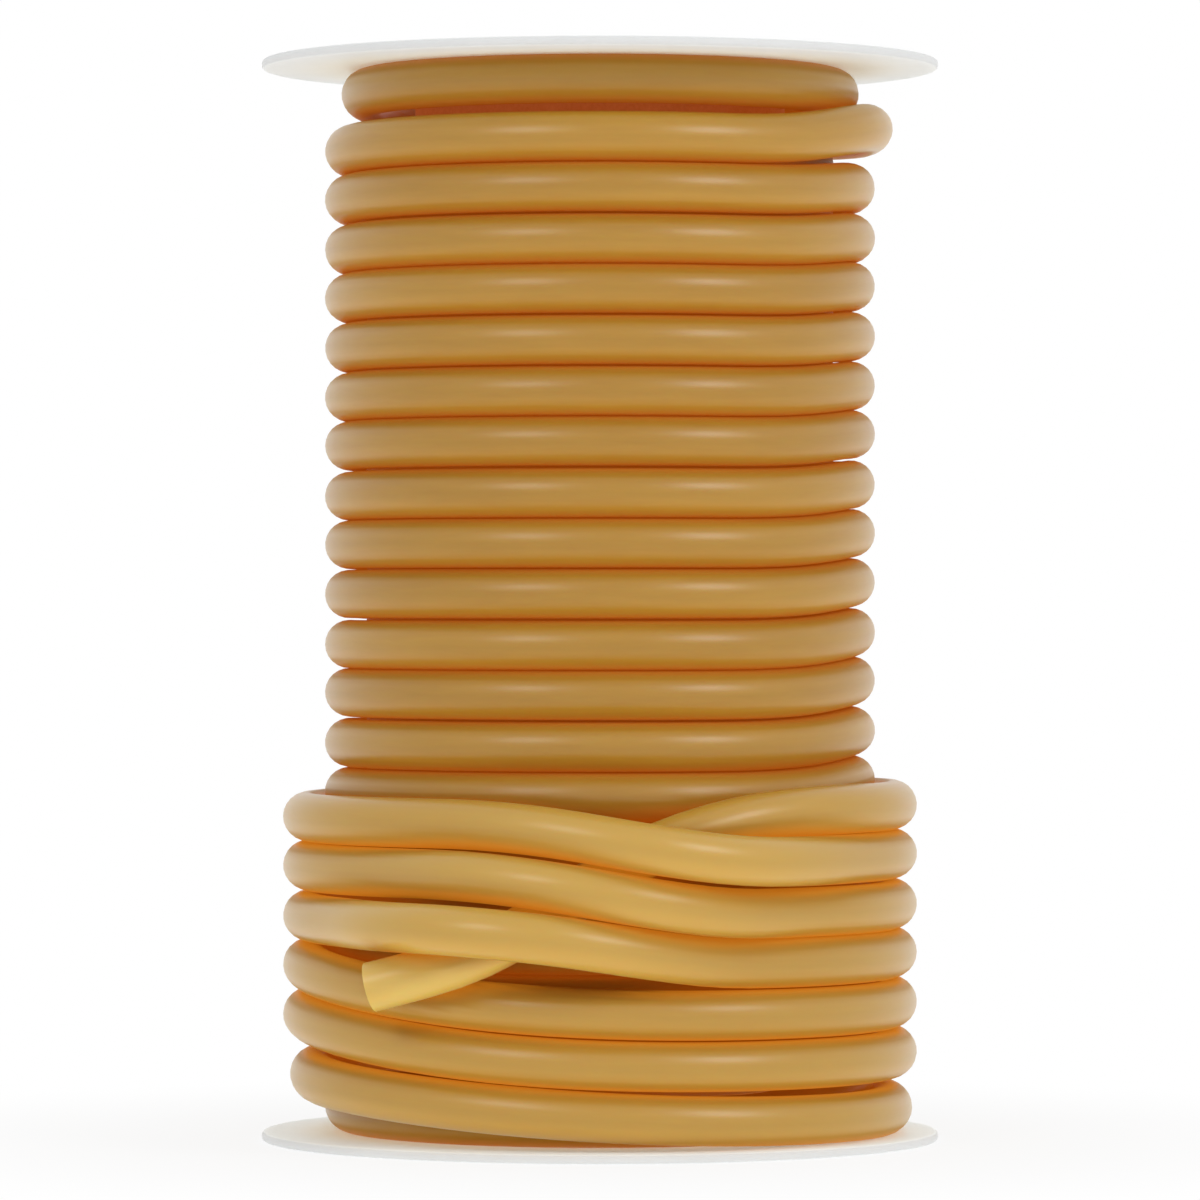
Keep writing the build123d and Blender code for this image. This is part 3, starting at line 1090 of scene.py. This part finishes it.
for flange in ("lower_flange", "upper_flange"):
    paint(flange, plastic)
paint("core_tube", board)

# %% [markdown]
# ## White surroundings
#
# The reel stands in a white room: a pale floor, and a world that lights evenly from all round. The
# camera and every mirror reflection see plain white there, by Light Path, while the light that
# falls on the object stays at a plain level. Close to the reel the floor keeps part of its own
# shading, so a soft shadow grounds the lower flange.

# %% The white world
WORLD_LIGHT = 0.57


def white_rays(tree):
    """One for rays from the camera, a reflection or through glass, and nought for the rest."""
    rays = add(tree, "ShaderNodeLightPath").outputs
    seen = reckon(tree, "MAXIMUM", rays["Is Camera Ray"], rays["Is Glossy Ray"])
    return reckon(tree, "MAXIMUM", seen, rays["Is Transmission Ray"])


def white_world():
    """A world that is seen as white and lights at a plain level."""
    world = bpy.data.worlds.new("white_room")
    scene.world = world
    world.use_nodes = True
    tree = world.node_tree
    tree.nodes.clear()
    levels = {"Factor": white_rays(tree), "A": WORLD_LIGHT, "B": 1.0}
    strength = add(tree, "ShaderNodeMix", levels, data_type="FLOAT").outputs["Result"]
    glow = add(tree, "ShaderNodeBackground", {"Color": (1, 1, 1, 1), "Strength": strength})
    add(tree, "ShaderNodeOutputWorld", {"Surface": glow.outputs["Background"]})


white_world()
print("world light", WORLD_LIGHT)

# %% The floor's material
FLOOR_PLAIN = {"Base Color": (0.9, 0.9, 0.9, 1), "Roughness": 0.9, "Specular IOR Level": 0.0}
FLOOR_GLOW = 0.55
SHADOW_SHARE = 0.14
SHADOW_NEAR = 0.06
SHADOW_FAR = 0.20


def floor_material():
    """Pale matte floor that the camera sees as white, but for a soft shadow close to the reel."""
    material, tree, surface = new_material("pale_floor", FLOOR_PLAIN)
    distance = reckon_vector(tree, "LENGTH", object_place(tree), result="Value")
    whiter = ranged(tree, distance, SHADOW_NEAR, SHADOW_FAR, 1 - SHADOW_SHARE, 1.0)
    levels = {"Factor": white_rays(tree), "A": FLOOR_GLOW, "B": whiter}
    share = add(tree, "ShaderNodeMix", levels, data_type="FLOAT").outputs["Result"]
    white = add(tree, "ShaderNodeEmission", {"Strength": 1.0})
    both = add(tree, "ShaderNodeMixShader", {"Fac": share})
    link(tree, surface.outputs["BSDF"], both.inputs[1])
    link(tree, white.outputs["Emission"], both.inputs[2])
    output = next(node for node in tree.nodes if node.type == "OUTPUT_MATERIAL")
    link(tree, both.outputs["Shader"], output.inputs["Surface"])
    return material


pale = floor_material()
print("made", pale.name)

# %% The floor
FLOOR_HALF = 4.0
FLOOR_DROP = 0.05 * MM
FLOOR_CORNERS = ((-1, -1), (1, -1), (1, 1), (-1, 1))


def pale_floor():
    """A wide flat floor just under the lower flange."""
    corners = [(x * FLOOR_HALF, y * FLOOR_HALF, -FLOOR_DROP) for x, y in FLOOR_CORNERS]
    mesh = bpy.data.meshes.new("floor")
    mesh.from_pydata(corners, [], [(0, 1, 2, 3)])
    mesh.materials.append(pale)
    floor_piece = bpy.data.objects.new("floor", mesh)
    scene.collection.objects.link(floor_piece)


pale_floor()
print("floor width", 2 * FLOOR_HALF)

# %% [markdown]
# ## Two soft boxes
#
# Each turn carries two soft highlights, one left of the middle and one further to the right. A
# highlight on a round coil sits halfway between the camera and its lamp, so the lamps stand at
# twice those angles round the reel and a little above it.

# %% Soft boxes
LAMP_DISTANCE = 1.3
LAMP_SIZE = 0.45
LAMP_ELEVATION = 30.0
LAMPS = {
    "left_soft_box": {"azimuth": -32.0, "power": 2.6},
    "right_soft_box": {"azimuth": 49.0, "power": 3.7},
}


def soft_box(name, azimuth, power):
    """A square area lamp that faces the middle of the reel from an angle round from the camera."""
    middle = Vector((0, 0, reel_height / 2))
    round_from_camera = radians(azimuth)
    up = radians(LAMP_ELEVATION)
    level = cos(up)
    direction = Vector((sin(round_from_camera) * level, -cos(round_from_camera) * level, sin(up)))
    light = bpy.data.lights.new(name, "AREA")
    light.shape = "SQUARE"
    light.size = LAMP_SIZE
    light.energy = power
    lamp = bpy.data.objects.new(name, light)
    lamp.location = middle + direction * LAMP_DISTANCE
    lamp.rotation_euler = direction.to_track_quat("Z", "Y").to_euler()
    scene.collection.objects.link(lamp)
    print(name, "power", power)


for lamp_name, lamp_values in LAMPS.items():
    soft_box(lamp_name, **lamp_values)

# %% [markdown]
# ## The camera
#
# The picture was taken level, with the reel's middle at eye height and from about a metre and a
# half away through a long lens: the near rims of the flanges show as slim ellipses. The lens
# follows from the scale at the reel's axis, in pixels for each metre of the 1200 pixel frame.

# %% The camera
FRAME_PIXELS = 1200
PIXELS_PER_METRE = 5060.0
CAMERA_DISTANCE = 1.451
NEAREST_SHARE = 0.01
SENSOR = 36.0


def level_camera():
    """A level camera in front of the reel, with its middle in the middle of the frame."""
    data = bpy.data.cameras.new("camera")
    data.sensor_width = SENSOR
    data.lens = SENSOR * PIXELS_PER_METRE * CAMERA_DISTANCE / FRAME_PIXELS
    data.clip_start = CAMERA_DISTANCE * NEAREST_SHARE
    eye = bpy.data.objects.new("camera", data)
    eye.location = (0, -CAMERA_DISTANCE, reel_height / 2)
    eye.rotation_euler = (pi / 2, 0, 0)
    scene.collection.objects.link(eye)
    scene.camera = eye
    print("lens", round(data.lens, 1))


level_camera()
